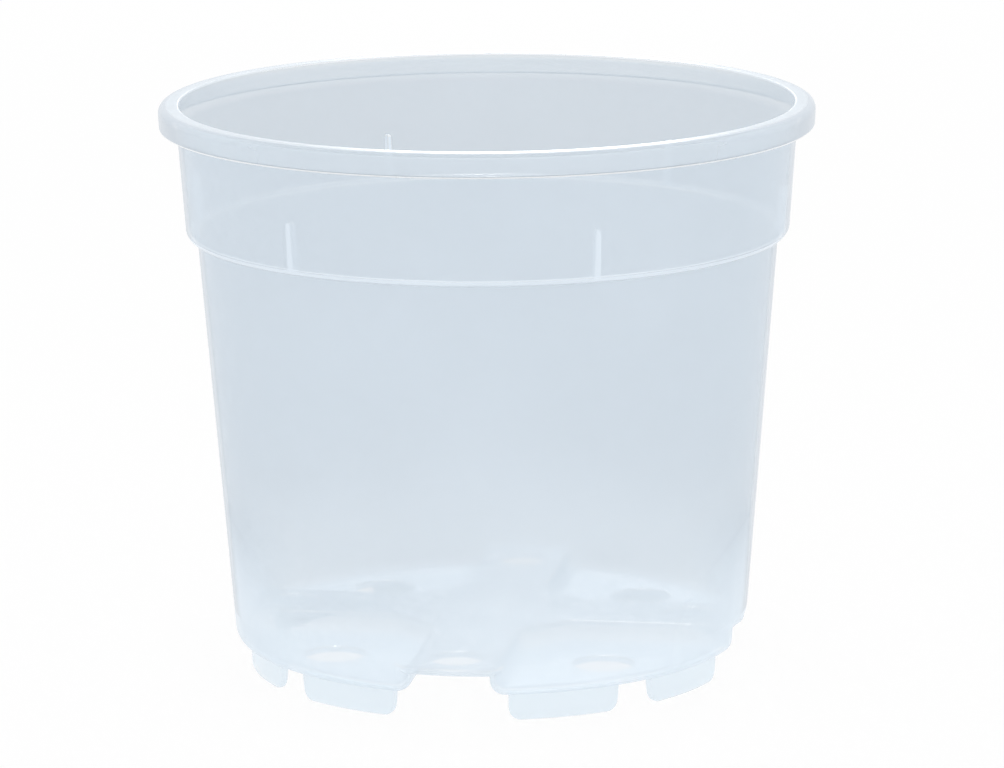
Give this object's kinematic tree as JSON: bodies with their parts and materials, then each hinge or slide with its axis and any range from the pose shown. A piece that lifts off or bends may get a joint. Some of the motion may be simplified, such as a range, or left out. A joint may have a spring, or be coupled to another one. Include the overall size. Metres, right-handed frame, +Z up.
{
  "type": "plant pot",
  "caption": "Round clear plastic orchid pot with a downturned rim, wide collar, stacking ledge, and a footed base with raised drain channels and drain holes.",
  "frame": {"origin": "centre of the pot's axis on the plane that the feet stand on", "axes": "+Z up along the pot's axis; the four raised drain channels run along X and Y, and the four sunken pods lie between them at 45 degrees"},
  "size_m": [0.12, 0.12, 0.105],
  "materials": {
    "clear_plastic": "smooth translucent polypropylene, pale blue-grey, slightly milky where it is thick"
  },
  "bodies": {
    "root": {"rim_lip": "clear_plastic", "rim_skirt": "clear_plastic", "collar_wall": "clear_plastic", "shoulder_ledge": "clear_plastic", "side_wall": "clear_plastic", "stacking_rib_1": "clear_plastic", "stacking_rib_2": "clear_plastic", "stacking_rib_3": "clear_plastic", "stacking_rib_4": "clear_plastic", "stacking_rib_5": "clear_plastic", "stacking_rib_6": "clear_plastic", "drain_cross": "clear_plastic", "base_pod_1": "clear_plastic", "base_pod_2": "clear_plastic", "base_pod_3": "clear_plastic", "base_pod_4": "clear_plastic", "foot_1a": "clear_plastic", "foot_1b": "clear_plastic", "foot_2a": "clear_plastic", "foot_2b": "clear_plastic", "foot_3a": "clear_plastic", "foot_3b": "clear_plastic", "foot_4a": "clear_plastic", "foot_4b": "clear_plastic"}
  },
  "joints": []
}
